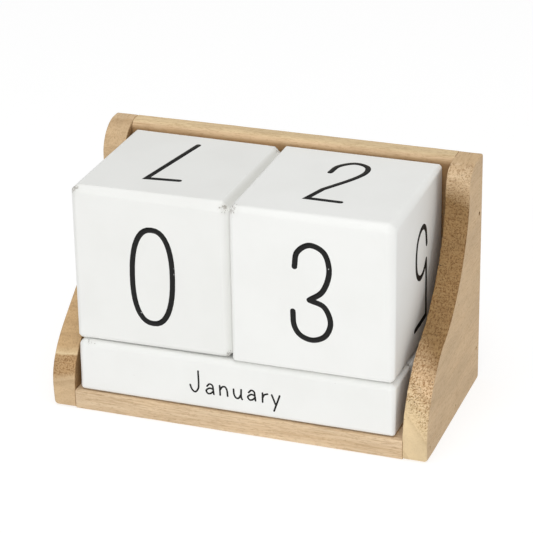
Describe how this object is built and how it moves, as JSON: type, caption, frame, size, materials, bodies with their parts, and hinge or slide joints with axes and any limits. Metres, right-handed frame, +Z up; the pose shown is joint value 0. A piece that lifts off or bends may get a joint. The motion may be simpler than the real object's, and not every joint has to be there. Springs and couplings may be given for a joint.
{
  "type": "perpetual block calendar",
  "caption": "Free-standing wooden tray with ogee side panels that holds lift-out number cubes above draw-out month bars, to show any date by hand.",
  "frame": {"origin": "middle of the footprint, on the surface that the calendar stands on", "axes": "+X to the right as the calendar is read, +Y towards the back board, +Z up"},
  "size_m": [0.1434, 0.07, 0.0908],
  "materials": {
    "natural_wood": "light tan, fine-pored, sanded and clear-finished",
    "bar_white_paint": "solid wood, satin white paint",
    "cube_white_paint": "solid wood, satin white paint with small chips at the corners",
    "brad_steel": "plain steel wire brad"
  },
  "bodies": {
    "tray": {"base_board": "natural_wood", "back_board": "natural_wood", "left_side_panel": "natural_wood", "right_side_panel": "natural_wood", "brad_left_base_front": "brad_steel", "brad_left_base_middle": "brad_steel", "brad_left_back_lower": "brad_steel", "brad_left_back_upper": "brad_steel", "brad_right_base_front": "brad_steel", "brad_right_base_middle": "brad_steel", "brad_right_back_lower": "brad_steel", "brad_right_back_upper": "brad_steel", "brad_rear_left": "brad_steel", "brad_rear_centre": "brad_steel", "brad_rear_right": "brad_steel"},
    "left_cube": {"left_number_cube": "cube_white_paint"},
    "right_cube": {"right_number_cube": "cube_white_paint"},
    "front_bar": {"month_bar_front": "bar_white_paint"},
    "middle_bar": {"month_bar_middle": "bar_white_paint"},
    "rear_bar": {"month_bar_rear": "bar_white_paint"}
  },
  "joints": [
    {"name": "left_cube_lift", "type": "slide", "parent": "tray", "child": "left_cube", "axis": [0, 0, 1], "range_m": [0, 0.07]},
    {"name": "right_cube_lift", "type": "slide", "parent": "tray", "child": "right_cube", "axis": [0, 0, 1], "range_m": [0, 0.07]},
    {"name": "front_bar_draw", "type": "slide", "parent": "tray", "child": "front_bar", "axis": [0, -1, 0], "range_m": [0, 0.096]},
    {"name": "middle_bar_draw", "type": "slide", "parent": "tray", "child": "middle_bar", "axis": [0, -1, 0], "range_m": [0, 0.084]},
    {"name": "rear_bar_draw", "type": "slide", "parent": "tray", "child": "rear_bar", "axis": [0, -1, 0], "range_m": [0, 0.072]}
  ],
  "couplings": [
    {"joint": "middle_bar_draw", "follows": "front_bar_draw", "ratio": 0.875},
    {"joint": "rear_bar_draw", "follows": "front_bar_draw", "ratio": 0.75}
  ]
}
